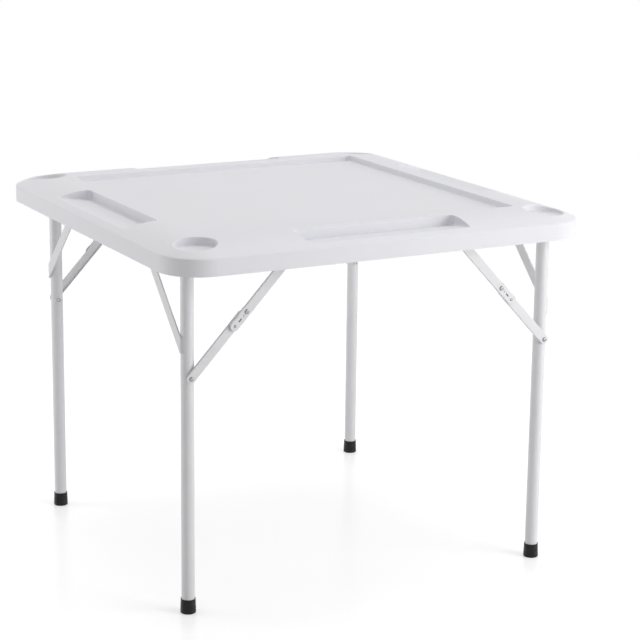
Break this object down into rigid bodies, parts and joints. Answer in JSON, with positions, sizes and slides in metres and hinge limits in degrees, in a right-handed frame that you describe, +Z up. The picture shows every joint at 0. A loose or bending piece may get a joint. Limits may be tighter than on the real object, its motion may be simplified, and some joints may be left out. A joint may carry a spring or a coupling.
{
  "type": "folding_table",
  "caption": "Square folding game table: sunk playing field, edge trays, corner cup holders, two fold-in tube leg frames with hinged braces.",
  "frame": {"origin": "middle of the table on the floor, legs open", "axes": "+X along the front edge to the right, +Y from front to back, +Z up; the frame folds about axes along Y"},
  "size_m": [0.88, 0.88, 0.716],
  "materials": {
    "tabletop": "white moulded plastic, fine satin grain",
    "steel_white": "white powder coat",
    "screw_black": "black oxide",
    "frame_white": "white powder coat, light texture",
    "rubber": "black rubber, slightly glossy",
    "link_white": "white powder coat",
    "rivet": "bright zinc",
    "plug": "black nylon"
  },
  "bodies": {
    "table": {"tabletop": "tabletop", "front_rail": "steel_white", "back_rail": "steel_white", "centre_crossbar": "steel_white", "rail_screws": "screw_black", "crossbar_screws": "screw_black", "bracket_screws": "screw_black", "left_front_bracket": "link_white", "left_back_bracket": "link_white", "left_bracket_pins": "rivet", "right_front_bracket": "link_white", "right_back_bracket": "link_white", "right_bracket_pins": "rivet"},
    "left_front_upper": {"left_front_upper_link": "link_white", "left_front_elbow_rivets": "rivet"},
    "left_front_lower": {"left_front_lower_link": "link_white"},
    "left_back_upper": {"left_back_upper_link": "link_white", "left_back_elbow_rivets": "rivet"},
    "left_back_lower": {"left_back_lower_link": "link_white"},
    "left_frame": {"left_front_leg": "frame_white", "left_front_stay": "frame_white", "left_front_foot": "rubber", "left_back_leg": "frame_white", "left_back_stay": "frame_white", "left_back_foot": "rubber", "left_cross_tube": "frame_white", "left_tube_plugs": "plug", "left_stay_rivets": "rivet", "left_brace_rivets": "rivet"},
    "right_front_upper": {"right_front_upper_link": "link_white", "right_front_elbow_rivets": "rivet"},
    "right_front_lower": {"right_front_lower_link": "link_white"},
    "right_back_upper": {"right_back_upper_link": "link_white", "right_back_elbow_rivets": "rivet"},
    "right_back_lower": {"right_back_lower_link": "link_white"},
    "right_frame": {"right_front_leg": "frame_white", "right_front_stay": "frame_white", "right_front_foot": "rubber", "right_back_leg": "frame_white", "right_back_stay": "frame_white", "right_back_foot": "rubber", "right_cross_tube": "frame_white", "right_tube_plugs": "plug", "right_stay_rivets": "rivet", "right_brace_rivets": "rivet"}
  },
  "joints": [
    {"name": "left_fold", "type": "hinge", "parent": "table", "child": "left_frame", "pos_m": [-0.37, 0, 0.678], "axis": [0, -1, 0], "range_deg": [0, 90]},
    {"name": "left_front_upper_turn", "type": "hinge", "parent": "table", "child": "left_front_upper", "pos_m": [-0.162, -0.3535, 0.678], "axis": [0, -1, 0], "range_deg": [-46.75, 0.01]},
    {"name": "left_front_lower_turn", "type": "hinge", "parent": "left_frame", "child": "left_front_lower", "pos_m": [-0.37, -0.3497, 0.457], "axis": [0, -1, 0], "range_deg": [-0.01, 43.27]},
    {"name": "left_back_upper_turn", "type": "hinge", "parent": "table", "child": "left_back_upper", "pos_m": [-0.162, 0.3535, 0.678], "axis": [0, -1, 0], "range_deg": [-46.75, 0.01]},
    {"name": "left_back_lower_turn", "type": "hinge", "parent": "left_frame", "child": "left_back_lower", "pos_m": [-0.37, 0.3497, 0.457], "axis": [0, -1, 0], "range_deg": [-0.01, 43.27]},
    {"name": "right_fold", "type": "hinge", "parent": "table", "child": "right_frame", "pos_m": [0.37, 0, 0.678], "axis": [0, 1, 0], "range_deg": [0, 90]},
    {"name": "right_front_upper_turn", "type": "hinge", "parent": "table", "child": "right_front_upper", "pos_m": [0.162, -0.3975, 0.678], "axis": [0, 1, 0], "range_deg": [-46.75, 0.01]},
    {"name": "right_front_lower_turn", "type": "hinge", "parent": "right_frame", "child": "right_front_lower", "pos_m": [0.37, -0.3937, 0.457], "axis": [0, 1, 0], "range_deg": [-0.01, 43.27]},
    {"name": "right_back_upper_turn", "type": "hinge", "parent": "table", "child": "right_back_upper", "pos_m": [0.162, 0.3975, 0.678], "axis": [0, 1, 0], "range_deg": [-46.75, 0.01]},
    {"name": "right_back_lower_turn", "type": "hinge", "parent": "right_frame", "child": "right_back_lower", "pos_m": [0.37, 0.3937, 0.457], "axis": [0, 1, 0], "range_deg": [-0.01, 43.27]}
  ],
  "couplings": [
    {"joint": "left_front_upper_turn", "follows": "left_fold", "ratio": -0.51929},
    {"joint": "left_front_lower_turn", "follows": "left_fold", "ratio": 0.48071},
    {"joint": "left_back_upper_turn", "follows": "left_fold", "ratio": -0.51929},
    {"joint": "left_back_lower_turn", "follows": "left_fold", "ratio": 0.48071},
    {"joint": "right_front_upper_turn", "follows": "right_fold", "ratio": -0.51929},
    {"joint": "right_front_lower_turn", "follows": "right_fold", "ratio": 0.48071},
    {"joint": "right_back_upper_turn", "follows": "right_fold", "ratio": -0.51929},
    {"joint": "right_back_lower_turn", "follows": "right_fold", "ratio": 0.48071}
  ]
}
